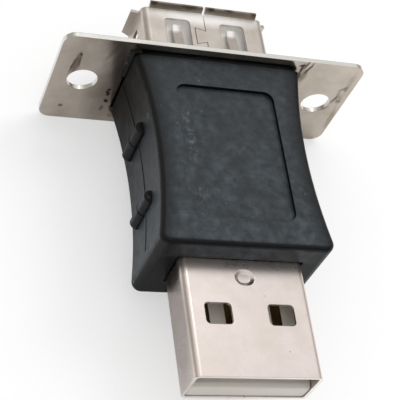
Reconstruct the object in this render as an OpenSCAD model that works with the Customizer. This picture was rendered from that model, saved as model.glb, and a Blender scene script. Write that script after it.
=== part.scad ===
// USB-A plug to receptacle adapter for a panel cut-out, with a flange of the nine-way D connector size.
// Origin: midway between the two fixing holes, on the panel side of the flange plate.
// X runs along the flange, Y from the plug to the receptacle, Z through the thickness.

/* [Flange plate] */
// Width of the plate
plate_w = 31.2; // [29.6:0.1:36]
// Height of the plate
plate_h = 12.6; // [11:0.1:16]
// Thickness of the plate
plate_t = 0.5; // [0.3:0.05:1.2]
// Radius of the plate's corners
plate_corner_r = 1.2; // [0.4:0.1:3]
// Distance between the two fixing holes
hole_pitch = 25; // [22.5:0.1:26]
// Diameter of the fixing holes
hole_d = 3.05; // [2.2:0.05:3.6]
// Height of the plug and receptacle axis over the line of the fixing holes
axis_rise = 0.3; // [-0.5:0.1:0.5]

/* [Overmould body] */
// Length from the flange to the plug's end face
body_l = 20.9; // [18:0.1:30]
// Width at both ends
body_end_w = 17.2; // [16.4:0.1:20]
// Width at the waist
body_waist_w = 15.1; // [14.6:0.1:15.8]
// Thickness
body_h = 9.7; // [8.4:0.1:11]
// Rounding of the edges round both broad faces
edge_r = 0.6; // [0.2:0.05:0.8]
// Rounding of the upright corners at the plug's end
corner_r = 0.9; // [0.85:0.05:1.6]
// Height of the mould parting ridge on the narrow sides
ridge_out = 0.06; // [0.02:0.01:0.15]
// Width of the mould parting ridge
ridge_w = 0.18; // [0.1:0.02:0.4]
// Width of the groove between the body and the flange
groove_w = 0.35; // [0.25:0.05:0.6]
// Depth of this groove
groove_depth = 0.35; // [0.2:0.05:0.6]
// Gap round the plug shell at the body's end face, square at the shell's round corners
opening_fit = 0.1; // [0.04:0.02:0.16]
// Depth of this gap
opening_depth = 0.6; // [0.3:0.1:1.2]

/* [Mould flash] */
// Reach of the flash on the flange, beside the upper half of the left side
flash_out = 0.5; // [0.3:0.05:0.8]
// Length of the flash
flash_l = 3.8; // [2:0.1:4.2]
// Thickness of the flash at the body, from which it thins out
flash_t = 0.24; // [0.1:0.02:0.24]

/* [Recess in the broad face] */
// Width of the recess
recess_w = 10; // [6:0.1:12]
// Length of the recess
recess_l = 14.7; // [8:0.1:16]
// Distance from the plug's end face to the recess
recess_from_end = 2.8; // [1.5:0.1:4]
// Depth of the recess
recess_depth = 0.4; // [0.1:0.05:0.6]
// Radius of the recess corners
recess_r = 1; // [0.3:0.1:2]

/* [Grip ribs] */
// Distance from the plug's end face to the nearer rib of a side
rib_from_end = 6.4; // [4:0.1:8]
// Distance between the two ribs of a side
rib_pitch = 7.7; // [4:0.1:10]
// Length of a rib
rib_l = 5.1; // [3:0.1:7]
// Distance of a rib's middle under the middle of the side
rib_drop = 0.5; // [0.3:0.1:0.8]
// Diameter of a rib
rib_d = 1.4; // [1:0.05:1.8]
// Height of a rib over the side
rib_out = 0.72; // [0.3:0.02:0.9]
// Chamfer round the ends of a rib
rib_chamfer = 0.2; // [0.1:0.05:0.4]

/* [Plug shell] */
// Outside width of the shell
plug_w = 12; // [11.8:0.05:12.4]
// Outside height of the shell
plug_h = 4.5; // [4.3:0.05:4.9]
// Length that stands out of the body
plug_l = 11.5; // [11:0.1:14]
// Length held in the body
plug_hold_l = 6.8; // [4:0.1:8]
// Thickness of the sheet
plug_sheet = 0.3; // [0.2:0.02:0.4]
// Outside radius of the long edges
plug_edge_r = 0.6; // [0.45:0.05:1]
// Width of a latch window
window_w = 2.55; // [1.8:0.05:2.8]
// Length of a latch window
window_l = 2.1; // [1.4:0.1:2.6]
// Distance between the two windows of a face
window_pitch = 6; // [5:0.1:6.6]
// Distance from the mouth to a window
window_from_mouth = 5; // [4:0.1:6]
// Radius of the window corners
window_r = 0.4; // [0.1:0.05:0.6]
// Width of the pressed dimple
dimple_w = 1.9; // [1.6:0.05:2.6]
// Length of the pressed dimple
dimple_l = 1.6; // [1.2:0.05:1.6]
// Depth of the pressed dimple
dimple_depth = 0.22; // [0.1:0.02:0.28]
// Slope of the dimple's wall, measured across
dimple_slope = 0.35; // [0.2:0.05:0.5]
// Distance from the body's end face to the dimple
dimple_from_body = 1.8; // [1.3:0.1:2.6]

/* [Seams of the folded shells] */
// Gap of a seam
seam_gap = 0.06; // [0.04:0.02:0.16]
// Reach of the dovetail across the seam
dovetail_reach = 1.05; // [0.7:0.05:1.4]
// Length of the dovetail at its tip
dovetail_tip_l = 2; // [1.4:0.1:2.4]
// Narrowing of the dovetail at its root, on each side
dovetail_flare = 0.32; // [0.1:0.02:0.45]

/* [Plug insulator] */
// Gap between the insulator and the shell
insulator_fit = 0.05; // [0.02:0.01:0.12]
// Depth of the hollow over the tongue
hollow_l = 9.2; // [8.6:0.1:10.5]
// Height of the hollow over the tongue
hollow_h = 1.95; // [1.9:0.05:2.1]
// Set-back of the tongue's front from the mouth
tongue_setback = 0.12; // [0.05:0.01:0.4]
// Rounding of the tongue's front edge
nose_r = 0.5; // [0.2:0.05:0.6]

/* [Contacts] */
// Width of a contact
contact_w = 1; // [0.8:0.05:1.3]
// Thickness of a contact
contact_t = 0.25; // [0.15:0.01:0.3]
// Distance between the two inner contacts
inner_pitch = 2; // [1.8:0.1:2.2]
// Distance between the two outer contacts
outer_pitch = 7; // [6.6:0.1:7.2]
// Set-back of the outer plug contacts from the mouth
outer_contact_setback = 1.2; // [0.8:0.1:1.6]
// Set-back of the inner plug contacts from the mouth
inner_contact_setback = 2.2; // [1.8:0.1:2.8]
// Length of a plug contact's tail behind the shell
plug_tail_l = 2.4; // [1.4:0.1:2.8]
// Length of a receptacle contact's tail behind the shell
socket_tail_l = 3; // [2.2:0.1:3.4]

/* [Link wires] */
// Diameter of a link wire
wire_d = 0.5; // [0.3:0.05:0.7]
// Depth to which a wire lies in the groove of a contact's tail
wire_seat = 0.1; // [0.05:0.01:0.12]

/* [Receptacle shell] */
// Inside width of the shell
socket_w = 12.5; // [12.4:0.05:12.8]
// Inside height of the shell
socket_h = 5.12; // [4.95:0.01:5.3]
// Length from the panel side of the flange to the bend of the lips
socket_l = 7.1; // [6.6:0.1:11]
// Length held behind the panel side of the flange
socket_hold_l = 5.5; // [4:0.1:6.2]
// Thickness of the sheet
socket_sheet = 0.3; // [0.2:0.02:0.4]
// Outside radius of the long edges
socket_edge_r = 0.7; // [0.5:0.05:1]
// Gap between the shell and the flange plate's cut-out
shell_fit = 0.08; // [0.02:0.01:0.2]
// Angle by which the lips are flared
lip_angle = 68; // [40:1:75]
// Width of the lips on the broad faces
broad_lip_w = 11.5; // [9:0.1:11.5]
// Length of the lips on the broad faces
broad_lip_l = 0.8; // [0.5:0.05:1.2]
// Narrowing of these lips at their tip, on each side
broad_lip_taper = 0.05; // [0.02:0.01:0.3]
// Width of the slit in the lip at the seam
lip_slit_w = 0.25; // [0.16:0.01:0.5]
// Width of the lips on the narrow sides
narrow_lip_w = 3.9; // [2.5:0.1:4.1]
// Length of the lips on the narrow sides
narrow_lip_l = 0.95; // [0.5:0.05:1.2]
// Narrowing of these lips at their tip, on each side
narrow_lip_taper = 0.3; // [0.05:0.05:0.6]

/* [Receptacle springs] */
// Width of a spring window on the broad faces
spring_window_w = 2.65; // [1.8:0.05:2.7]
// Distance between the two spring windows of a face
spring_window_pitch = 5.85; // [5.4:0.05:6.4]
// Width of the spring windows in the narrow sides
side_window_w = 1.5; // [1.4:0.05:2.2]
// Length of a spring window
spring_window_l = 4.3; // [3.4:0.1:4.6]
// Distance from the lips' bend to a spring window
spring_window_from_lip = 1.15; // [1:0.05:1.8]
// Width of a spring finger
finger_w = 1; // [0.7:0.05:1.2]
// Radius of the corners of a finger's tip
finger_tip_r = 0.3; // [0.1:0.05:0.3]
// Gap between a finger's tip and its window's end
finger_tip_gap = 0.5; // [0.3:0.05:1]
// Depth to which a finger is bent inwards
finger_drop = 0.44; // [0.2:0.02:0.46]
// Length of the tip that is curled back
finger_curl_l = 0.7; // [0.4:0.05:1]
// Height by which the tip is curled back
finger_curl_rise = 0.22; // [0.1:0.02:0.24]
// Distance from the lips' bend to the middle of the dovetail
socket_dovetail_from_lip = 3.05; // [2.6:0.05:4]

/* [Receptacle insulator] */
// Width of the tongue
tongue_w = 11.1; // [10.9:0.05:11.2]
// Thickness of the tongue
tongue_t = 1.84; // [1.75:0.01:1.9]
// Gap between the tongue's contact side and the axis
tongue_over_axis = 0.05; // [0.02:0.01:0.1]
// Length of the tongue
tongue_l = 8.4; // [8:0.1:9]
// Distance from the lips' bend to the tongue's front
tongue_from_lip = 0.45; // [0.3:0.05:1.6]
// Depth of a contact's bow under the tongue
bow_drop = 0.45; // [0.2:0.05:0.6]
// Length of a contact's bow along the tongue
bow_l = 4.4; // [3:0.1:5]
// Length of the flat at the bottom of the bow
bow_flat_l = 0.9; // [0.5:0.1:1.2]
// Distance from the tongue's front to a contact's tip
contact_tip_inset = 0.9; // [0.5:0.1:1.4]

/* [Hidden] */
$fn = 48;

// Length by which a cut runs past the face that it opens
over = 1;
// Ends of the pieces along Y
body_back_y = -plate_t;
body_front_y = body_back_y - body_l;
mouth_y = body_front_y - plug_l;
plug_back_y = body_front_y + plug_hold_l;
dimple_y = body_front_y - dimple_from_body;
recess_y = body_front_y + recess_from_end + recess_l / 2;
socket_back_y = -socket_hold_l;
tongue_front_y = socket_l - tongue_from_lip;
tongue_root_y = tongue_front_y - tongue_l;
// Side arcs of the body: middle, radius and centre
waist_y = body_back_y - body_l / 2;
waist_sag = (body_end_w - body_waist_w) / 2;
waist_r = (pow(body_l / 2, 2) + pow(waist_sag, 2)) / (2 * waist_sag);
side_x = body_waist_w / 2 + waist_r;
// Centre of an upright corner, where its round touches the end face and the side arc
corner_y = body_front_y + corner_r;
corner_x = side_x - sqrt(pow(waist_r + corner_r, 2) - pow(waist_y - corner_y, 2));
// Half the height of the body between the roundings of its two broad faces
body_rise = body_h / 2 - edge_r;
// Inside sizes of the plug shell and outside sizes of the receptacle shell
plug_in_w = plug_w - 2 * plug_sheet;
plug_in_h = plug_h - 2 * plug_sheet;
socket_out_w = socket_w + 2 * socket_sheet;
socket_out_h = socket_h + 2 * socket_sheet;
// Top of the plug's tongue, flush with its contacts, and axis of the wires in the tails' grooves
tongue_top = plug_in_h / 2 - hollow_h;
wire_z = tongue_top - wire_seat + wire_d / 2;
// Places of the contacts across the connector: supply, data minus, data plus, ground
contact_x = [-outer_pitch / 2, -inner_pitch / 2, inner_pitch / 2, outer_pitch / 2];
contact_setback = [outer_contact_setback, inner_contact_setback,
                   inner_contact_setback, outer_contact_setback];
// Ends of a spring window along Y, and the tip of its finger
spring_front_y = socket_l - spring_window_from_lip;
spring_back_y = spring_front_y - spring_window_l;
finger_tip_y = spring_front_y - finger_tip_gap;
// Centre line of a receptacle contact in Y and Z: tip, bow, root, then up to the tail over the wire
rail_z = tongue_over_axis + contact_t / 2;
bow_front_y = tongue_front_y - contact_tip_inset - contact_t;
tail_z = wire_z + wire_d / 2 - wire_seat + contact_t / 2;
tail_bend_y = socket_back_y - contact_t;
tail_top_y = tail_bend_y - (tail_z - rail_z);
socket_contact_line = [
    [tongue_front_y - contact_tip_inset, rail_z],
    [bow_front_y, rail_z],
    [bow_front_y - (bow_l - bow_flat_l) / 2, rail_z - bow_drop],
    [bow_front_y - (bow_l + bow_flat_l) / 2, rail_z - bow_drop],
    [bow_front_y - bow_l, rail_z],
    [tail_bend_y, rail_z],
    [tail_top_y, tail_z],
    [socket_back_y - socket_tail_l, tail_z]];

// Half the body's width at a place along Y
function half_width(y) = side_x - sqrt(pow(waist_r, 2) - pow(y - waist_y, 2));

function unit(v) = v / norm(v);
function left_of(v) = [-v[1], v[0]];

// Points of a line moved sideways by d, mitred at its bends
function moved_line(line, d) = [
    for (i = [0 : len(line) - 1])
        let (
            before = unit(i == 0 ? line[1] - line[0] : line[i] - line[i - 1]),
            after = i == len(line) - 1 ? before : unit(line[i + 1] - line[i]),
            mitre = unit(left_of(before) + left_of(after))
        )
        line[i] + mitre * d / (mitre * left_of(before))];

// Section of a bent strip of sheet along its centre line
module bent_strip(line, t) {
    far = moved_line(line, -t / 2);
    polygon(concat(moved_line(line, t / 2), [for (i = [len(far) - 1 : -1 : 0]) far[i]]));
}

module rounded_rect(w, h, r) {
    square([w - 2 * r, h], center = true);
    square([w, h - 2 * r], center = true);
    for (sx = [-1, 1], sy = [-1, 1])
        translate([sx * (w / 2 - r), sy * (h / 2 - r)])
            circle(r);
}

// A section in X and Z, drawn round the connector's axis and run along Y
module along_y(y0, y1) {
    translate([0, y1, axis_rise])
        rotate([90, 0, 0])
            linear_extrude(height = y1 - y0)
                children();
}

// A section in Y and Z, drawn from the connector's axis and run across X
module across_x(x, w) {
    translate([x, 0, axis_rise])
        rotate([90, 0, 90])
            linear_extrude(height = w, center = true)
                children();
}

// A plan in X and Y, run up from z0 to z1 over the connector's axis
module up_z(z0, z1) {
    translate([0, 0, axis_rise + z0])
        linear_extrude(height = z1 - z0)
            children();
}

// Plan of a seam along Y with one dovetail that reaches over to the left
module seam_plan(y0, y1, dovetail_y) {
    tip = dovetail_tip_l / 2;
    root = tip - dovetail_flare;
    left = -seam_gap / 2 - dovetail_reach;
    difference() {
        union() {
            translate([-seam_gap / 2, y0])
                square([seam_gap, y1 - y0]);
            translate([0, dovetail_y])
                polygon([[seam_gap / 2, -root - seam_gap], [left - seam_gap, -tip - seam_gap],
                         [left - seam_gap, tip + seam_gap], [seam_gap / 2, root + seam_gap]]);
        }
        translate([0, dovetail_y])
            polygon([[seam_gap, -root], [left, -tip], [left, tip], [seam_gap, root]]);
    }
}

// Side view of the body, rounded at the plug's end
module body_elevation() {
    translate([body_front_y, -body_rise])
        square([body_l, 2 * body_rise]);
    translate([body_front_y + edge_r, -body_h / 2])
        square([body_l - edge_r, body_h]);
    for (side = [-1, 1])
        translate([body_front_y + edge_r, side * body_rise])
            circle(edge_r);
}

// What the concave side takes off the body, with the rounding of both edges
module side_cutter() {
    translate([side_x, waist_y, axis_rise])
        rotate_extrude($fn = 180)
            difference() {
                translate([0, -body_h / 2 - over])
                    square([waist_r + edge_r, body_h + 2 * over]);
                translate([waist_r, -body_rise])
                    square([2 * edge_r, 2 * body_rise]);
                for (side = [-1, 1])
                    translate([waist_r + edge_r, side * body_rise])
                        circle(edge_r);
            }
}

// What an upright corner loses to its round, which runs into the rounding of both broad faces
module corner_cutter() {
    reach = 2 * corner_r;
    to_side = unit([side_x - corner_x, waist_y - corner_y]);
    translate([corner_x, corner_y, axis_rise])
        difference() {
            linear_extrude(height = body_h + 2 * over, center = true)
                polygon([[0, 0], [0, -reach], [reach, -reach], reach * to_side]);
            corner_round();
        }
}

// Round post that stays at an upright corner
module corner_round() {
    rotate_extrude()
        intersection() {
            translate([0, -body_h / 2])
                square([corner_r, body_h]);
            union() {
                translate([0, -body_h / 2])
                    square([corner_r - edge_r, body_h]);
                translate([0, -body_rise])
                    square([corner_r, 2 * body_rise]);
                for (side = [-1, 1])
                    translate([corner_r - edge_r, side * body_rise])
                        circle(edge_r);
            }
        }
}

// Ridge where the mould halves part, on the right side, from the groove to the corner round
module parting_ridge() {
    ridge_l = body_l - groove_w - 2 * corner_r;
    intersection() {
        translate([side_x, waist_y, axis_rise])
            rotate_extrude($fn = 180)
                translate([waist_r - ridge_out, -ridge_w / 2])
                    square([ridge_out + ridge_w, ridge_w]);
        translate([0, body_back_y - groove_w - ridge_l, axis_rise - ridge_w])
            cube([body_end_w, ridge_l, 2 * ridge_w]);
    }
}

// Half-round bar on the right side, with the step of the parting ridge round its middle
module grip_rib(y) {
    r = rib_d / 2;
    straight = rib_l - 2 * rib_chamfer;
    translate([half_width(y) + rib_out - r, y, axis_rise - rib_drop]) {
        cylinder(h = straight, r = r, center = true);
        cylinder(h = ridge_w, r = r + ridge_out, center = true);
        for (turn = [0, 180])
            rotate([turn, 0, 0])
                translate([0, 0, straight / 2])
                    cylinder(h = rib_chamfer, r1 = r, r2 = r - rib_chamfer);
    }
}

// What the groove at the flange takes off all round
module groove_cutter() {
    along_y(body_back_y - groove_w, body_back_y + over)
        difference() {
            square([body_end_w + 2 * over, body_h + 2 * over], center = true);
            rounded_rect(body_end_w - 2 * groove_depth, body_h - 2 * groove_depth, edge_r);
        }
}

// Skin that the mould left on the flange, joined to the body at the bottom of the groove
module mould_flash() {
    side = body_end_w / 2;
    root = side - 2 * groove_depth;
    up_z(body_h / 2 - flash_l, body_h / 2)
        polygon([[-root, body_back_y], [-side - flash_out, body_back_y],
                 [-side - flash_out, body_back_y - flash_t / 4],
                 [-side, body_back_y - flash_t], [-root, body_back_y - flash_t]]);
}

module body_outside() {
    mould_flash();
    difference() {
        across_x(0, body_end_w + 2 * corner_r)
            body_elevation();
        groove_cutter();
        for (side = [0, 1])
            mirror([side, 0, 0]) {
                side_cutter();
                corner_cutter();
            }
    }
    for (side = [0, 1])
        mirror([side, 0, 0]) {
            parting_ridge();
            for (along = [0, rib_pitch])
                grip_rib(body_front_y + rib_from_end + along);
        }
}

// Solid outlines of the pieces that the overmould is cast round
module plug_outline() {
    rounded_rect(plug_w, plug_h, plug_edge_r);
}

module socket_outline() {
    rounded_rect(socket_out_w, socket_out_h, socket_edge_r);
}

module overmould_body() {
    color("#2b2d30")
        difference() {
            body_outside();
            translate([0, recess_y, axis_rise + body_h / 2 - recess_depth])
                linear_extrude(height = recess_depth + over)
                    rounded_rect(recess_w, recess_l, recess_r);
            along_y(body_front_y - over, body_front_y + opening_depth)
                square([plug_w + 2 * opening_fit, plug_h + 2 * opening_fit], center = true);
            along_y(body_front_y - over, socket_back_y)
                plug_outline();
            along_y(socket_back_y, body_back_y + over)
                socket_outline();
        }
}

// Block between the two shells, in line with the plug shell, cast round the tails and wires
module inner_mould() {
    color("#e9e6dc")
        difference() {
            along_y(plug_back_y, socket_back_y)
                plug_outline();
            for (i = [0 : 3]) {
                plug_contact_shape(i);
                socket_contact_shape(i);
                link_wire_shape(i);
            }
        }
}

module flange_plate() {
    color("#b9b3aa")
        rotate([90, 0, 0])
            linear_extrude(height = plate_t)
                difference() {
                    rounded_rect(plate_w, plate_h, plate_corner_r);
                    for (side = [-1, 1])
                        translate([side * hole_pitch / 2, 0])
                            circle(d = hole_d);
                    translate([0, axis_rise])
                        rounded_rect(socket_out_w + 2 * shell_fit, socket_out_h + 2 * shell_fit,
                                     socket_edge_r + shell_fit);
                }
}

// Sloped oval of the pressed dimple, from its rim down to its floor
module dimple(rim_z) {
    stretch = dimple_w - dimple_l;
    rim_r = dimple_l / 2;
    floor_r = rim_r - dimple_slope;
    translate([0, dimple_y, axis_rise + rim_z - dimple_depth]) {
        for (side = [-1, 1])
            translate([side * stretch / 2, 0, 0])
                cylinder(h = dimple_depth, r1 = floor_r, r2 = rim_r);
        rotate([90, 0, 90])
            linear_extrude(height = stretch, center = true)
                polygon([[-floor_r, 0], [floor_r, 0], [rim_r, dimple_depth], [-rim_r, dimple_depth]]);
    }
}

module plug_shell() {
    window_y = mouth_y + window_from_mouth + window_l / 2;
    color("#cfc8c1") {
        difference() {
            along_y(mouth_y, plug_back_y)
                difference() {
                    plug_outline();
                    rounded_rect(plug_in_w, plug_in_h, plug_edge_r - plug_sheet);
                }
            for (side = [-1, 1])
                up_z(-plug_h, plug_h)
                    translate([side * window_pitch / 2, window_y])
                        rounded_rect(window_w, window_l, window_r);
            dimple(plug_h / 2);
            up_z(-plug_h, 0)
                seam_plan(mouth_y - over, plug_back_y + over, window_y);
        }
        dimple(plug_in_h / 2);
    }
}

// Strip with its tail, in the groove of the tongue
module plug_contact_shape(i) {
    across_x(contact_x[i], contact_w)
        translate([mouth_y + contact_setback[i], tongue_top - contact_t])
            square([plug_back_y + plug_tail_l - mouth_y - contact_setback[i], contact_t]);
}

module plug_insulator() {
    block_w = plug_in_w - 2 * insulator_fit;
    block_h = plug_in_h - 2 * insulator_fit;
    corner = plug_edge_r - plug_sheet;
    tongue_y = mouth_y + tongue_setback;
    block_y = tongue_y + hollow_l;
    notch_w = dimple_w + 2 * insulator_fit;
    notch_back_y = dimple_y + dimple_l / 2 + insulator_fit;
    color("#e6e0d2")
        difference() {
            along_y(tongue_y, plug_back_y)
                rounded_rect(block_w, block_h, corner);
            across_x(0, plug_w)
                translate([tongue_y - over, tongue_top])
                    square([hollow_l + over, plug_h]);
            across_x(0, plug_w)
                translate([tongue_y, tongue_top - nose_r])
                    difference() {
                        translate([-over, 0])
                            square([nose_r + over, nose_r + over]);
                        translate([nose_r, 0])
                            circle(nose_r);
                    }
            // Notch in the block's front edge, behind which the shell's dimple locks
            across_x(0, notch_w)
                translate([block_y - over, plug_in_h / 2 - dimple_depth - insulator_fit])
                    square([notch_back_y - block_y + over, plug_h]);
            for (i = [0 : 3])
                plug_contact_shape(i);
        }
}

module plug_contact(i) {
    color("#d8c48a")
        difference() {
            plug_contact_shape(i);
            link_wire_shape(i);
        }
}

// Spring finger from the back of its window to its round-cornered tip, on the wall's middle line
module finger(x, wall) {
    finger_l = finger_tip_y - spring_back_y + over;
    intersection() {
        across_x(x, finger_w)
            bent_strip([[spring_back_y - socket_sheet, wall], [spring_back_y, wall],
                        [finger_tip_y - finger_curl_l, wall - finger_drop],
                        [finger_tip_y, wall - finger_drop + finger_curl_rise]],
                       socket_sheet);
        up_z(0, 2 * wall)
            translate([x, finger_tip_y - finger_l / 2])
                rounded_rect(finger_w, finger_l, finger_tip_r);
    }
}

// Flared lip from the end of a wall, on the wall's middle line, narrower towards its tip
module lip(wall, w, l, taper) {
    out = [l * cos(lip_angle), l * sin(lip_angle)];
    intersection() {
        across_x(0, w)
            bent_strip([[socket_l - socket_sheet, wall], [socket_l, wall], [socket_l, wall] + out],
                       socket_sheet);
        along_y(socket_l - socket_sheet, socket_l + l + socket_sheet)
            polygon([[-w / 2, wall - socket_sheet], [w / 2, wall - socket_sheet],
                     [w / 2 - taper, wall + out[1]], [w / 2 - taper, wall + out[1] + socket_sheet],
                     [taper - w / 2, wall + out[1] + socket_sheet], [taper - w / 2, wall + out[1]]]);
    }
}

// Lip and spring fingers of one broad wall and, turned by a quarter, of one narrow wall
module broad_wall_parts() {
    wall = (socket_h + socket_sheet) / 2;
    lip(wall, broad_lip_w, broad_lip_l, broad_lip_taper);
    for (side = [-1, 1])
        finger(side * spring_window_pitch / 2, wall);
}

module narrow_wall_parts() {
    wall = (socket_w + socket_sheet) / 2;
    translate([0, 0, axis_rise])
        rotate([0, 90, 0])
            translate([0, 0, -axis_rise]) {
                lip(wall, narrow_lip_w, narrow_lip_l, narrow_lip_taper);
                finger(0, wall);
            }
}

module spring_windows() {
    middle_y = (spring_front_y + spring_back_y) / 2;
    up_z(-socket_h, socket_h)
        for (side = [-1, 1])
            translate([side * spring_window_pitch / 2, middle_y])
                rounded_rect(spring_window_w, spring_window_l, window_r);
    across_x(0, 2 * socket_w)
        translate([middle_y, 0])
            rounded_rect(spring_window_l, side_window_w, window_r);
}

module receptacle_shell() {
    color("#cfc8c1")
        difference() {
            union() {
                difference() {
                    along_y(socket_back_y, socket_l)
                        difference() {
                            socket_outline();
                            rounded_rect(socket_w, socket_h, socket_edge_r - socket_sheet);
                        }
                    spring_windows();
                }
                for (turn = [0, 180])
                    translate([0, 0, axis_rise])
                        rotate([0, turn, 0])
                            translate([0, 0, -axis_rise]) {
                                broad_wall_parts();
                                narrow_wall_parts();
                            }
            }
            up_z(0, socket_h) {
                seam_plan(socket_back_y - over, socket_l + over,
                          socket_l - socket_dovetail_from_lip);
                translate([-lip_slit_w / 2, socket_l - lip_slit_w])
                    square([lip_slit_w, broad_lip_l + over]);
            }
        }
}

module socket_contact_shape(i) {
    across_x(contact_x[i], contact_w)
        bent_strip(socket_contact_line, contact_t);
}

module receptacle_insulator() {
    block_w = socket_w - 2 * insulator_fit;
    block_h = socket_h - 2 * insulator_fit;
    corner = socket_edge_r - socket_sheet;
    tongue_z = tongue_over_axis + tongue_t / 2;
    groove_l = tongue_front_y - contact_tip_inset - socket_back_y;
    color("#ece9e2")
        difference() {
            union() {
                along_y(socket_back_y, tongue_root_y)
                    rounded_rect(block_w, block_h, corner);
                across_x(0, tongue_w)
                    translate([socket_back_y, tongue_over_axis])
                        square([tongue_front_y - socket_back_y, tongue_t]);
            }
            for (x = contact_x)
                across_x(x, contact_w)
                    translate([socket_back_y - over, tongue_over_axis])
                        square([groove_l + over, contact_t]);
        }
}

module receptacle_contact(i) {
    color("#d8c48a")
        difference() {
            socket_contact_shape(i);
            link_wire_shape(i);
        }
}

// Straight wire in the grooves of the plug's tail below it and the receptacle's tail over it
module link_wire_shape(i) {
    wire_back_y = tail_top_y - contact_t;
    wire_front_y = plug_back_y + contact_t;
    translate([contact_x[i], wire_back_y, axis_rise + wire_z])
        rotate([90, 0, 0])
            cylinder(h = wire_back_y - wire_front_y, d = wire_d);
}

module link_wire(i) {
    color("#c9c6c0")
        link_wire_shape(i);
}

overmould_body();
inner_mould();
flange_plate();
plug_shell();
plug_insulator();
plug_contact(0);  // plug_contact_vbus
plug_contact(1);  // plug_contact_data_minus
plug_contact(2);  // plug_contact_data_plus
plug_contact(3);  // plug_contact_ground
receptacle_shell();
receptacle_insulator();
receptacle_contact(0);  // receptacle_contact_vbus
receptacle_contact(1);  // receptacle_contact_data_minus
receptacle_contact(2);  // receptacle_contact_data_plus
receptacle_contact(3);  // receptacle_contact_ground
link_wire(0);  // link_wire_vbus
link_wire(1);  // link_wire_data_minus
link_wire(2);  // link_wire_data_plus
link_wire(3);  // link_wire_ground
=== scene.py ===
"""Looks of a USB-A panel mount adapter: its finishes, studio, lamps and camera."""

import math

import bpy
from mathutils import Matrix, Vector


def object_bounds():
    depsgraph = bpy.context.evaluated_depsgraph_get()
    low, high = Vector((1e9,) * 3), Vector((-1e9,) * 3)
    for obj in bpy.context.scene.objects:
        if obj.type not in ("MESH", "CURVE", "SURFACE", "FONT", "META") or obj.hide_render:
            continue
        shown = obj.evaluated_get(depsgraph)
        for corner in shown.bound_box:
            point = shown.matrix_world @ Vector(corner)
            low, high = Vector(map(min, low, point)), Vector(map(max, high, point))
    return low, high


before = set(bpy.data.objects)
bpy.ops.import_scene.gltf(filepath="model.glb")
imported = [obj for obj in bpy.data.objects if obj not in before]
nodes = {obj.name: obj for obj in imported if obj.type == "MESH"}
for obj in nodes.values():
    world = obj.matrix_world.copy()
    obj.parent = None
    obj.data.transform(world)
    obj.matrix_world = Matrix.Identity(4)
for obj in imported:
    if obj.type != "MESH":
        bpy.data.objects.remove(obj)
cad_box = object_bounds()

MM = 0.001
WHITE = (1, 1, 1, 1)
LEVEL = (0, 0, 0)

# Places on the part in mm: X along the flange, Y from the plug to the receptacle, Z through the thickness
FLANGE_BACK = -0.5
BODY_MIDDLE = -10.95
BODY_HALF_L = 10.45
WAIST_HALF_W = 7.55
END_HALF_W = 8.6
RECESS_FLOOR = 4.75
PLUG_LEFT = -6.0
PLUG_TOP = 2.55
SOCKET_TOP = 3.0
LIP_FRONT = 7.45


def linear(hex_colour):
    """An sRGB hex colour as linear RGBA."""
    parts = [int(hex_colour[i : i + 2], 16) / 255 for i in (1, 3, 5)]
    return (*(c / 12.92 if c <= 0.04045 else ((c + 0.055) / 1.055) ** 2.4 for c in parts), 1.0)


def add(tree, kind, inputs=None, **settings):
    """Adds a node: settings go on the node itself, and each input takes a value, a socket, or a node, which
    gives its first output."""
    node = tree.nodes.new(kind)
    for name, value in settings.items():
        setattr(node, name, value)
    for name, value in (inputs or {}).items():
        if isinstance(value, bpy.types.Node):
            value = value.outputs[0]
        if isinstance(value, bpy.types.NodeSocket):
            tree.links.new(value, node.inputs[name])
        else:
            node.inputs[name].default_value = value
    return node


def finish_on(material, *names):
    """Gives a finish to CAD nodes."""
    for name in names:
        slots = nodes[name].data.materials
        slots.clear()
        slots.append(material)


def bare_tree(owner):
    """The emptied node tree of a material or world."""
    owner.use_nodes = True
    owner.node_tree.nodes.clear()
    return owner.node_tree


def new_finish(name):
    """A bare material and its tree, with the place on the object in mm."""
    material = bpy.data.materials.new(name)
    tree = bare_tree(material)
    here = add(tree, "ShaderNodeTexCoord").outputs["Object"]
    place = add(tree, "ShaderNodeMapping", {"Vector": here, "Scale": (1 / MM,) * 3})
    return material, tree, place


def laid_over(tree, base, layers):
    """A colour with others laid over it in turn, each through its mask."""
    colour = linear(base)
    for mask, over in layers:
        layer = {0: mask, 6: colour, 7: linear(over)}
        colour = add(tree, "ShaderNodeMix", layer, data_type="RGBA").outputs[2]
    return colour


# A mark's edge: the size of its notches in mm, and the share of the way out to it where the mark is full
RAGGED_EDGE = 0.625
MARK_CORE = 0.45


def marks(tree, place, ovals, wander):
    """Mask of ragged oval marks: each has its middle and half sizes in mm, its turn in degrees and its
    strength, and their edges wander by so many mm."""
    ragged = add(
        tree,
        "ShaderNodeTexNoise",
        {"Vector": place, "Scale": 1 / RAGGED_EDGE, "Detail": 3.0},
        normalize=False,
    )
    place = add(
        tree,
        "ShaderNodeVectorMath",
        {0: ragged.outputs["Color"], 1: (wander,) * 3, 2: place},
        operation="MULTIPLY_ADD",
    )
    mask = None
    for middle, half, turn, strength in ovals:
        oval = add(
            tree,
            "ShaderNodeMapping",
            {"Vector": place, "Location": middle, "Rotation": [math.radians(a) for a in turn], "Scale": half},
            vector_type="TEXTURE",
        )
        reach = add(tree, "ShaderNodeVectorMath", {0: oval}, operation="LENGTH").outputs["Value"]
        inside = add(
            tree,
            "ShaderNodeMapRange",
            {"Value": reach, "From Min": 1.0, "From Max": MARK_CORE, "To Max": strength},
        )
        if mask is not None:
            inside = add(tree, "ShaderNodeMath", {0: mask, 1: inside}, operation="MAXIMUM")
        mask = inside
    return mask


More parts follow.
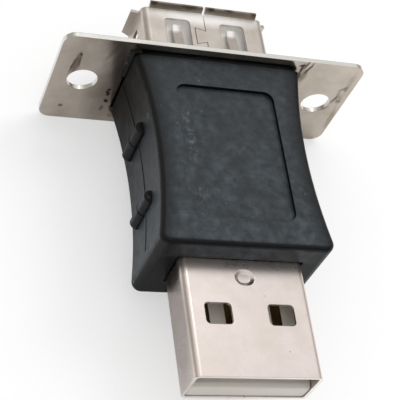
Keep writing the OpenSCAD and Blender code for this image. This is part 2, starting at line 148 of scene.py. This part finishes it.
# Moulded flexible PVC: a soft sheen over black, with the grain of the mould, a film of handling marks that
# also carries painted shade along the broad face's edges and on the narrow sides and a painted reflection
# over the plug, and dust and scratches in the recess and by the ribs, with painted highlights on the left
# edge and the flash. The mould's real grain, of about 0.02 mm, is too fine to show, so it is drawn coarser,
# and so are the flecks in the film. Sizes are in mm, and a fleck's own are shares of the spacing.
GRAIN = 0.125
GRAIN_DEPTH = 0.03
FILM_CLOUD = 1.818
FILM_MOTTLE = 0.8333
DUST_CRUMB = 0.4545
DUST_WANDER = 0.15
FLECK_SPACING = 1.613
FLECK_R = 0.065
FLECK_CORE = 0.03
BODY_EDGE_R = 0.04
BODY_DUST_AND_PAINTED_HIGHLIGHTS = [
    # in the recess
    ((-4.3, -7.2, RECESS_FLOOR), (0.6, 1.7, 0.3), (0, 0, -6), 0.5),
    ((-4.1, -10.2, RECESS_FLOOR), (0.6, 2.6, 0.3), (0, 0, 3), 0.65),
    ((-4.0, -16.0, RECESS_FLOOR), (1.0, 1.2, 0.3), LEVEL, 0.35),
    ((1.8, -10.6, RECESS_FLOOR), (1.2, 0.9, 0.3), LEVEL, 0.3),
    # two scratches there
    ((-2.4, -9.75, RECESS_FLOOR), (0.9, 0.07, 0.3), (0, 0, 8), 0.9),
    ((-2.6, -10.05, RECESS_FLOOR), (0.7, 0.06, 0.3), (0, 0, 2), 0.7),
    # by the two left ribs
    ((-7.75, -7.1, 3.75), (0.45, 0.5, 0.5), LEVEL, 1.0),
    ((-8.0, -15.2, 2.0), (0.4, 0.35, 0.4), LEVEL, 0.7),
    # on the left edge, dust with painted edge highlights, and on the flash beside it, a painted highlight
    ((-8.25, -2.3, 4.35), (0.4, 1.1, 0.4), (0, 0, -8), 0.7),
    ((-9.0, -0.65, 3.4), (0.3, 0.3, 2.2), LEVEL, 0.7),
]
# Where the film, with the painted shade and painted reflection in it, starts and where it is full: in mm in
# from the waisted sides, out from the recess's walls, along towards the plug, and at, across and up the end
# face,
IN_FROM_SIDE = (0.2, 2.0)
PAST_RECESS = (5.5, 6.5)
TOWARDS_PLUG = (-4.0, -13.0)
AT_END = (-19.0, -20.5)
MID_END = (8.0, 4.5)
OVER_PLUG = (2.2, 2.9)
# and in the normal, for faces that look straight out, out to the sides, which bow, and out over the plug
FACES = (0.9, 0.99)
FACES_SIDE = (0.9, 0.97)
FACES_PLUG = (-0.9, -0.99)
# Where along the body it is thinnest and thickest
FILM_THICKENING = (-2.0, -20.0)

pvc, tree, place = new_finish("moulded_black_pvc")
grain = add(tree, "ShaderNodeTexNoise", {"Vector": place, "Scale": 1 / GRAIN, "Detail": 3.0})
cloud = add(
    tree, "ShaderNodeTexNoise", {"Vector": place, "Scale": 1 / FILM_CLOUD, "Detail": 5.0, "Roughness": 0.62}
)
mottle = add(
    tree, "ShaderNodeTexNoise", {"Vector": place, "Scale": 1 / FILM_MOTTLE, "Detail": 4.0, "Roughness": 0.6}
)
crumbs = add(
    tree, "ShaderNodeTexNoise", {"Vector": place, "Scale": 1 / DUST_CRUMB, "Detail": 6.0, "Roughness": 0.8}
)
fleck = add(tree, "ShaderNodeTexVoronoi", {"Vector": place, "Scale": 1 / FLECK_SPACING})
axes = add(tree, "ShaderNodeSeparateXYZ", {0: place}).outputs
normal = add(tree, "ShaderNodeTexCoord").outputs["Normal"]
facing = add(tree, "ShaderNodeSeparateXYZ", {0: normal}).outputs
across = add(tree, "ShaderNodeMath", {0: axes["X"]}, operation="ABSOLUTE")
sideways = add(tree, "ShaderNodeMath", {0: facing["X"]}, operation="ABSOLUTE")
endways = add(tree, "ShaderNodeMath", {0: facing["Y"]}, operation="ABSOLUTE")
# The body's half width, from the waist out to the ends
along = add(
    tree,
    "ShaderNodeMath",
    {0: axes["Y"], 1: 1 / BODY_HALF_L, 2: -BODY_MIDDLE / BODY_HALF_L},
    operation="MULTIPLY_ADD",
)
bow = add(tree, "ShaderNodeMath", {0: along, 1: 2.0}, operation="POWER")
half_w = add(
    tree,
    "ShaderNodeMath",
    {0: bow, 1: END_HALF_W - WAIST_HALF_W, 2: WAIST_HALF_W},
    operation="MULTIPLY_ADD",
)
from_side = add(tree, "ShaderNodeMath", {0: half_w, 1: across}, operation="SUBTRACT")
where_film_and_painted_light = 0.0
for most, spans in (
    # the broad face, thinned along its sides as painted shade on the rounded edges
    (1.0, [(facing["Z"], FACES), (from_side, IN_FROM_SIDE)]),
    # the narrow sides, painted lighter towards the plug and dark by the flange as painted shade
    (1.0, [(across, PAST_RECESS), (axes["Y"], TOWARDS_PLUG), (sideways, FACES_SIDE)]),
    # the end face over the plug, as a painted reflection of the plug's top
    (0.8, [(axes["Y"], AT_END), (across, MID_END), (axes["Z"], OVER_PLUG), (facing["Y"], FACES_PLUG)]),
):
    for value, (start, full) in spans:
        span = {"Value": value, "From Min": start, "From Max": full, "To Max": most}
        most = add(tree, "ShaderNodeMapRange", span)
    where_film_and_painted_light = add(tree, "ShaderNodeMath", {0: where_film_and_painted_light, 1: most}, operation="MAXIMUM")
# The film is thicker towards the plug, and it is cloudy and mottled
film_and_painted_light = 1.0
for value, (start, full), least in (
    (axes["Y"], FILM_THICKENING, 0.6),
    (cloud, (0.3, 0.7), 0.25),
    (mottle, (0.25, 0.75), 0.17),
):
    span = {"Value": value, "From Min": start, "From Max": full, "To Min": least, "To Max": film_and_painted_light}
    film_and_painted_light = add(tree, "ShaderNodeMapRange", span)
film_and_painted_light = add(tree, "ShaderNodeMath", {0: film_and_painted_light, 1: where_film_and_painted_light}, operation="MULTIPLY")
# The dust marks include painted highlights on the left edge and on the flash
dust_and_highlight_marks = marks(tree, place, BODY_DUST_AND_PAINTED_HIGHLIGHTS, DUST_WANDER)
dust_and_painted_highlights = add(tree, "ShaderNodeMapRange", {"Value": crumbs, "From Min": 0.52, "From Max": 0.72, "To Max": dust_and_highlight_marks})
flecks = add(
    tree, "ShaderNodeMapRange", {"Value": fleck, "From Min": FLECK_R, "From Max": FLECK_CORE, "To Max": film_and_painted_light}
)
dust_and_painted_highlights = add(tree, "ShaderNodeMath", {0: dust_and_painted_highlights, 1: flecks}, operation="MAXIMUM")
# The film's lighter tone is partly painted shade and a painted reflection, and the dust's partly painted
# highlights
skin = laid_over(tree, "#0a0b0c", [(film_and_painted_light, "#535b61"), (dust_and_painted_highlights, "#8d9296")])
sheen = add(
    tree,
    "ShaderNodeMapRange",
    {"Value": cloud, "From Min": 0.3, "From Max": 0.7, "To Min": 0.36, "To Max": 0.56},
)
# The end faces came off another plate of the mould: they are smoother, and shine less
at_ends = {"Value": endways, "From Min": FACES[0], "From Max": FACES[1]}
sheen = add(tree, "ShaderNodeMapRange", {**at_ends, "To Min": sheen, "To Max": 0.28})
gloss = add(tree, "ShaderNodeMapRange", {**at_ends, "To Min": 0.25, "To Max": 0.12})
edge = add(tree, "ShaderNodeBevel", {"Radius": BODY_EDGE_R * MM}, samples=6)
bump = add(
    tree, "ShaderNodeBump", {"Height": grain, "Strength": 0.25, "Distance": GRAIN_DEPTH * MM, "Normal": edge}
)
shader = add(
    tree,
    "ShaderNodeBsdfPrincipled",
    {"Base Color": skin, "Roughness": sheen, "Specular IOR Level": gloss, "Normal": bump},
)
add(tree, "ShaderNodeOutputMaterial", {"Surface": shader})
finish_on(pvc, "overmould_body")

# Plating, in mm: the clouds of tarnish, the ripple left by rolling, and how far the edges of stains wander;
# and how much the roughness varies
TARNISH_CLOUD = 2.5
ROLLED_RIPPLE = 1.111
RIPPLE_DEPTH = 0.02
STAIN_WANDER = 0.07
SATIN_SPREAD = 0.05


def plated(name, pale, deep, rough, edge_r, cut=None, tints=()):
    """Plating on rolled sheet or drawn wire: satin, with cloudy tarnish, a soft glint on its edges, paler
    where the sheet was cut (cut gives that colour, and the size of the normal's Y on the faces and there),
    and stained (each tint has its colour and its marks)."""
    material, tree, place = new_finish(name)
    cloud = add(
        tree,
        "ShaderNodeTexNoise",
        {"Vector": place, "Scale": 1 / TARNISH_CLOUD, "Detail": 5.0, "Roughness": 0.6},
    )
    tarnish = add(tree, "ShaderNodeMapRange", {"Value": cloud, "From Min": 0.38, "From Max": 0.64})
    layers = [(tarnish, deep)]
    if cut:
        bare, on_faces, there = cut
        normal = add(tree, "ShaderNodeTexCoord").outputs["Normal"]
        along = add(tree, "ShaderNodeSeparateXYZ", {0: normal}).outputs["Y"]
        along = add(tree, "ShaderNodeMath", {0: along}, operation="ABSOLUTE")
        at_cut = add(tree, "ShaderNodeMapRange", {"Value": along, "From Min": on_faces, "From Max": there})
        layers.append((at_cut, bare))
    layers += [(marks(tree, place, ovals, STAIN_WANDER), tint) for tint, ovals in tints]
    satin = add(
        tree,
        "ShaderNodeMapRange",
        {
            "Value": cloud,
            "From Min": 0.3,
            "From Max": 0.7,
            "To Min": rough - SATIN_SPREAD,
            "To Max": rough + SATIN_SPREAD,
        },
    )
    edge = add(tree, "ShaderNodeBevel", {"Radius": edge_r * MM}, samples=6)
    ripple = add(tree, "ShaderNodeTexNoise", {"Vector": place, "Scale": 1 / ROLLED_RIPPLE, "Detail": 2.0})
    bump = add(
        tree,
        "ShaderNodeBump",
        {"Height": ripple, "Strength": 0.2, "Distance": RIPPLE_DEPTH * MM, "Normal": edge},
    )
    shade = laid_over(tree, pale, layers)
    shader = add(
        tree,
        "ShaderNodeBsdfPrincipled",
        {"Base Color": shade, "Metallic": 1.0, "Roughness": satin, "Normal": bump},
    )
    add(tree, "ShaderNodeOutputMaterial", {"Surface": shader})
    return material


# A stroke's half depth in mm, and its half length as a share of its run, so that its faint ends lie outside
STROKE_DEPTH = 0.2
STROKE_REACH = 0.6


def stroke(start, end, half_w, strength):
    """A thin mark on the back of the flange between two places in X and Z."""
    run = Vector(end) - Vector(start)
    middle = (Vector(start) + Vector(end)) / 2
    half = (half_w, STROKE_DEPTH, STROKE_REACH * run.length)
    turn = math.degrees(math.atan2(run.x, run.y))
    return ((middle.x, FLANGE_BACK, middle.y), half, (0, turn, 0), strength)


# Brown for stains, also laid on as painted shade
BROWN_STAIN_AND_PAINTED_SHADE = "#3a2d24"

# Nickel-plated steel plate: warm satin grey, with brown stains, worn plating and bright cut edges, and
# painted shade and a painted reflection of the body beside it
FLANGE_STAINS_AND_PAINTED_SHADE = [
    # painted reflection of the dark body and painted shade beside it, with painted streaks of that
    # reflection, and a broad painted shade over the right ear
    ((-8.4, FLANGE_BACK, 0.5), (3.4, 0.3, 7.5), (0, 14, 0), 0.55),
    stroke((-9.4, 5.8), (-10.6, 0.4), 0.35, 0.35),
    stroke((-10.2, 5.8), (-11.1, 3.0), 0.3, 0.25),
    ((8.6, FLANGE_BACK, 3.5), (1.6, 0.3, 3.0), LEVEL, 0.3),
    ((12.5, FLANGE_BACK, 0.0), (6.0, 0.3, 10.0), LEVEL, 0.14),
    # wedge over the left hole
    stroke((-13.6, 4.1), (-13.75, 0.4), 0.44, 0.65),
    stroke((-13.66, 4.1), (-14.13, 0.55), 0.16, 0.8),
    stroke((-13.55, 4.1), (-13.3, 1.5), 0.15, 0.75),
    stroke((-13.6, 4.1), (-13.45, 3.4), 0.22, 0.85),
    # specks under the left hole and beside the body
    stroke((-13.9, -4.45), (-13.4, -4.25), 0.32, 0.7),
    stroke((-9.62, -1.0), (-9.25, -2.45), 0.34, 1.0),
    stroke((-9.7, -1.1), (-9.15, -1.1), 0.3, 1.0),
    stroke((-9.5, -2.6), (-9.1, -3.3), 0.38, 1.0),
    stroke((-9.1, -2.3), (-8.95, -2.9), 0.2, 0.6),
    stroke((-8.7, -3.3), (-8.2, -4.9), 0.4, 0.9),
    stroke((-9.54, -4.8), (-9.4, -3.5), 0.32, 0.7),
    stroke((-8.6, -4.8), (-8.0, -5.6), 0.5, 0.45),
    # scuff at the body's right corner
    stroke((9.8, 6.4), (9.25, 4.2), 0.2, 0.85),
    stroke((9.2, 6.5), (8.95, 4.9), 0.22, 0.8),
    stroke((8.3, 5.55), (9.1, 5.82), 0.24, 1.0),
    stroke((8.78, 6.1), (8.82, 4.2), 0.22, 0.95),
    stroke((8.65, 5.1), (9.15, 3.3), 0.24, 0.9),
    # ring beside the right hole
    stroke((14.12, 0.1), (14.48, 1.8), 0.24, 0.7),
    stroke((14.42, 0.6), (14.3, 3.1), 0.22, 0.45),
    stroke((14.05, 2.25), (15.1, 3.25), 0.24, 0.6),
    stroke((14.87, 3.3), (14.82, 2.2), 0.24, 0.6),
    stroke((14.5, 0.62), (15.25, 0.67), 0.26, 0.55),
    # smudge along the right end, and painted shade at the hole's rim
    stroke((14.9, 4.8), (15.0, -2.4), 0.4, 0.2),
    stroke((13.75, -1.2), (14.25, -0.2), 0.14, 0.6),
]
FLANGE_WEAR = [
    # plating rubbed thin under the scuff, in the ring and along the right end
    stroke((9.35, 5.2), (9.35, 3.1), 0.45, 0.7),
    stroke((14.5, 1.9), (14.95, 0.2), 0.4, 0.45),
    stroke((15.1, -0.6), (15.45, -4.4), 0.35, 0.5),
    stroke((14.8, 5.6), (14.87, 2.4), 0.35, 0.25),
]
nickel_plate = plated(
    "tarnished_nickel_plate",
    pale="#cbc1b6",
    deep="#beb3a6",
    rough=0.2,
    edge_r=0.06,
    cut=("#d6d3cd", 0.9, 0.5),
    tints=[("#7d7455", FLANGE_WEAR), (BROWN_STAIN_AND_PAINTED_SHADE, FLANGE_STAINS_AND_PAINTED_SHADE)],
)
finish_on(nickel_plate, "flange_plate")

# Bright nickel-plated steel sheet: soft and pale, with a broad glint on the folds, and painted shade down the
# left side and by the body
PLUG_STAINS_AND_PAINTED_SHADE = [
    # painted shade down the left side, and where the shell leaves the body
    ((PLUG_LEFT, -27.0, 0.1), (0.5, 9.0, 3.6), LEVEL, 0.42),
    ((PLUG_LEFT, -21.9, 0.3), (0.5, 2.4, 2.8), LEVEL, 0.75),
    ((0.0, -21.4, PLUG_TOP), (9.0, 2.2, 0.5), LEVEL, 0.16),
    # specks
    ((-5.95, -29.2, -0.2), (0.3, 0.16, 0.16), LEVEL, 0.8),
    ((3.1, -30.4, PLUG_TOP), (0.09, 0.09, 0.3), LEVEL, 0.6),
    ((1.6, -25.0, PLUG_TOP), (0.09, 0.09, 0.3), LEVEL, 0.4),
]
plug_sheet = plated(
    "bright_nickel_sheet",
    pale="#e3d8d3",
    deep="#dbd0c8",
    rough=0.3,
    edge_r=0.1,
    cut=("#eeebe7", 0.5, 0.9),
    tints=[(BROWN_STAIN_AND_PAINTED_SHADE, PLUG_STAINS_AND_PAINTED_SHADE)],
)
finish_on(plug_sheet, "plug_shell")

# Nickel-plated steel sheet: duller than the plug's, with painted highlights before the lips and on the spring
# fingers' tips, and tarnished on the lips
LIP_PAINTED_HIGHLIGHT = [
    ((0.0, 6.6, SOCKET_TOP), (7.5, 1.6, 0.6), LEVEL, 0.85),
    ((-3.1, 4.9, SOCKET_TOP), (0.6, 0.7, 0.6), LEVEL, 0.9),
    ((2.8, 5.0, SOCKET_TOP), (0.6, 0.7, 0.6), LEVEL, 0.9),
]
LIP_TARNISH = [
    # all over the two lips
    ((-3.1, LIP_FRONT, 3.8), (5.0, 0.9, 1.3), LEVEL, 0.42),
    ((3.1, LIP_FRONT, 3.8), (5.0, 0.9, 1.3), LEVEL, 0.32),
    # and darker in places
    ((-5.4, LIP_FRONT, 3.9), (0.8, 0.7, 0.8), LEVEL, 0.9),
    ((-1.6, LIP_FRONT, 3.8), (1.5, 0.7, 0.8), LEVEL, 0.8),
    ((0.7, LIP_FRONT, 3.9), (0.7, 0.7, 0.8), LEVEL, 0.9),
    ((2.7, LIP_FRONT, 4.0), (1.0, 0.7, 0.6), LEVEL, 0.9),
    ((5.6, LIP_FRONT, 3.7), (0.9, 0.7, 0.8), LEVEL, 0.8),
]
receptacle_sheet = plated(
    "receptacle_nickel_sheet",
    pale="#c8c0b9",
    deep="#bcb3aa",
    rough=0.36,
    edge_r=0.06,
    cut=("#eeebe7", 0.95, 1.0),
    tints=[("#f4f1ee", LIP_PAINTED_HIGHLIGHT), ("#4c4b38", LIP_TARNISH)],
)
finish_on(receptacle_sheet, "receptacle_shell")

# Gold-plated copper alloy: darkened to a dull yellow-brown as painted shade for the dark of the shells, and
# smoother than the nickel
PINS = ("vbus", "data_minus", "data_plus", "ground")
finish_on(
    plated("gold_plated_contact", pale="#94825c", deep="#857250", rough=0.16, edge_r=0.03),
    *("plug_contact_" + pin for pin in PINS),
    *("receptacle_contact_" + pin for pin in PINS),
)
# Tinned copper wire: pale grey and satin
finish_on(
    plated("tinned_copper_wire", pale="#c9c6c0", deep="#bdb9b2", rough=0.3, edge_r=0.03),
    *("link_wire_" + pin for pin in PINS),
)

# Thermoplastic, in mm: the clouds left by its flow, and the rounding of its edges
FLOW_CLOUD = 1.667
PLASTIC_EDGE_R = 0.08


def moulded(name, pale, deep, painted_shade=None):
    """Moulded thermoplastic: even colour with faint flow clouding under a smooth skin, darkened by painted
    shade along Y when its last argument gives that shade's colour and the two places along Y where it starts
    and is full."""
    material, tree, place = new_finish(name)
    cloud = add(tree, "ShaderNodeTexNoise", {"Vector": place, "Scale": 1 / FLOW_CLOUD, "Detail": 3.0})
    layers = [(cloud, deep)]
    if painted_shade:
        shade_tone, start, full = painted_shade
        along = add(tree, "ShaderNodeSeparateXYZ", {0: place}).outputs["Y"]
        in_shade = add(tree, "ShaderNodeMapRange", {"Value": along, "From Min": start, "From Max": full})
        layers.append((in_shade, shade_tone))
    shade = laid_over(tree, pale, layers)
    edge = add(tree, "ShaderNodeBevel", {"Radius": PLASTIC_EDGE_R * MM}, samples=4)
    shader = add(
        tree,
        "ShaderNodeBsdfPrincipled",
        {"Base Color": shade, "Roughness": 0.5, "Coat Weight": 1.0, "Coat Roughness": 0.2, "Normal": edge},
    )
    add(tree, "ShaderNodeOutputMaterial", {"Surface": shader})
    return material


# Cream thermoplastic: warm off-white, greyed by painted shade at the plug's mouth
cream = moulded("cream_thermoplastic", pale="#eae6df", deep="#e0dbd1", painted_shade=("#bdb8ae", -31.6, -32.5))
finish_on(cream, "plug_insulator")
# White thermoplastic: clean and bright in the receptacle's windows
finish_on(moulded("white_thermoplastic", pale="#f6f5f2", deep="#eeece8"), "receptacle_insulator")
# Polyethylene: milky, and hidden under the body
finish_on(moulded("milky_polyethylene", pale="#e9e6dc", deep="#e0dccf"), "inner_mould")


def eye_rays(tree):
    """1 for rays that show a surface straight to the eye, and 1 for those by way of metal and glass."""
    path = add(tree, "ShaderNodeLightPath").outputs
    by_way = {0: path["Is Glossy Ray"], 1: path["Is Transmission Ray"]}
    return path["Is Camera Ray"], add(tree, "ShaderNodeMath", by_way, operation="MAXIMUM")


# Floor: pale card on which the part stands, lifted towards white where it is seen or mirrored
FLOOR_SIZE = 4000
LIFT_SEEN = 0.5
LIFT_MIRRORED = 0.08
floor_z = cad_box[0].z
bpy.ops.object.select_all(action="DESELECT")
bpy.ops.mesh.primitive_plane_add(size=FLOOR_SIZE * MM, location=(0, 0, floor_z))
floor = bpy.context.object
floor.name = "floor"
card = bpy.data.materials.new("pale_card")
tree = bare_tree(card)
seen, mirrored = eye_rays(tree)
lift = add(tree, "ShaderNodeMapRange", {"Value": mirrored, "To Max": LIFT_MIRRORED})
lift = add(tree, "ShaderNodeMath", {0: seen, 1: LIFT_SEEN, 2: lift}, operation="MULTIPLY_ADD")
lit = add(tree, "ShaderNodeBsdfDiffuse", {"Color": linear("#f8f8f8")})
glow = add(tree, "ShaderNodeEmission", {"Color": WHITE, "Strength": 1.0})
shader = add(tree, "ShaderNodeMixShader", {0: lift, 1: lit, 2: glow})
add(tree, "ShaderNodeOutputMaterial", {"Surface": shader})
card.cycles.emission_sampling = "NONE"
floor.data.materials.append(card)

# Grey felt screen round the table, which only the sheen of the surfaces shows: it draws their edges. It is
# darker in front, and stands higher in front and on the left than behind on the right, where the broad faces
# look. Its sizes, and the places between which it changes, are in mm from its middle.
SCREEN_R = 300
SCREEN_H = 430
SCREEN_RISE = 120
PALER = (-250, 50)
LEFTWARDS = (0, -140)
FORWARDS = (50, -100)
FRONT_RISE = 0.35
RIM_FADE = (-60, 40)
bpy.ops.object.select_all(action="DESELECT")
bpy.ops.mesh.primitive_cylinder_add(
    vertices=64,
    radius=SCREEN_R * MM,
    depth=SCREEN_H * MM,
    end_fill_type="NOTHING",
    location=(0, 0, floor_z + SCREEN_H / 2 * MM),
)
screen = bpy.context.object
screen.name = "dark_screen"
screen.visible_camera = False
screen.visible_diffuse = False
screen.visible_shadow = False
screen.visible_transmission = False
felt, tree, place = new_finish("grey_felt")
spot = add(tree, "ShaderNodeSeparateXYZ", {0: place}).outputs
round_back, on_left, in_front = (
    add(tree, "ShaderNodeMapRange", {"Value": value, "From Min": start, "From Max": full, "To Max": most})
    for value, (start, full), most in (
        (spot["Y"], PALER, 1.0),
        (spot["X"], LEFTWARDS, 1.0),
        (spot["Y"], FORWARDS, FRONT_RISE),
    )
)
high = add(tree, "ShaderNodeMath", {0: on_left, 1: in_front}, operation="MAXIMUM")
over_rim = add(tree, "ShaderNodeMath", {0: high, 1: -SCREEN_RISE, 2: spot["Z"]}, operation="MULTIPLY_ADD")
fade = add(
    tree, "ShaderNodeMapRange", {"Value": over_rim, "From Min": RIM_FADE[0], "From Max": RIM_FADE[1]}
)
tone = laid_over(tree, "#6a665d", [(round_back, "#bfbbb2"), (fade, "#ffffff")])
shader = add(tree, "ShaderNodeEmission", {"Color": tone, "Strength": 1.0})
add(tree, "ShaderNodeOutputMaterial", {"Surface": shader})
felt.cycles.emission_sampling = "NONE"
screen.data.materials.append(felt)

# Studio: white all round, a little dimmer as a lamp than as a backdrop
STUDIO_LIGHT = 0.9
world = bpy.data.worlds.new("white_studio")
bpy.context.scene.world = world
tree = bare_tree(world)
seen, mirrored = eye_rays(tree)
shown = add(tree, "ShaderNodeMath", {0: seen, 1: mirrored}, operation="MAXIMUM")
strength = add(tree, "ShaderNodeMapRange", {"Value": shown, "To Min": STUDIO_LIGHT, "To Max": 1.0})
backdrop = add(tree, "ShaderNodeBackground", {"Color": WHITE, "Strength": strength})
add(tree, "ShaderNodeOutputWorld", {"Surface": backdrop})

LAMPS_AIM = (0, -14, 0)


def softbox(name, at, size, power, mirrored):
    """A square soft lamp that faces the part, and shows in its sheen or not: place and size in mm, watts."""
    bpy.ops.object.light_add(type="AREA", location=Vector(at) * MM)
    lamp = bpy.context.object
    lamp.name = name
    lamp.data.size = size * MM
    lamp.data.energy = power
    lamp.visible_glossy = mirrored
    aim = Vector(LAMPS_AIM) * MM - lamp.location
    lamp.rotation_euler = aim.to_track_quat("-Z", "Y").to_euler()


softbox("key_softbox", at=(230, 160, 320), size=180, power=0.5, mirrored=False)
softbox("glint_strip", at=(40, 191, 349), size=100, power=0.08, mirrored=True)

# Camera: long lens over the plug's end, rolled so that the part leans across the frame
LENS = 110.02
SENSOR_W = 36
NEAREST = 5
ROUND, RISE, ROLL = (math.radians(angle) for angle in (-33.268, 51.748, 31.183))
CAMERA_AIM = (-2.514, -14.236, 1.035)
CAMERA_DISTANCE = 114.371
bpy.ops.object.camera_add()
camera = bpy.context.object
camera.data.lens = LENS
camera.data.sensor_width = SENSOR_W
camera.data.clip_start = NEAREST * MM
turn = (
    Matrix.Rotation(ROUND, 4, "Z")
    @ Matrix.Rotation(math.pi / 2 - RISE, 4, "X")
    @ Matrix.Rotation(ROLL, 4, "Z")
)
eye = Vector(CAMERA_AIM) + turn.to_3x3() @ Vector((0, 0, CAMERA_DISTANCE))
camera.matrix_world = Matrix.Translation(eye * MM) @ turn
bpy.context.scene.camera = camera
bpy.context.scene.view_settings.view_transform = "Standard"
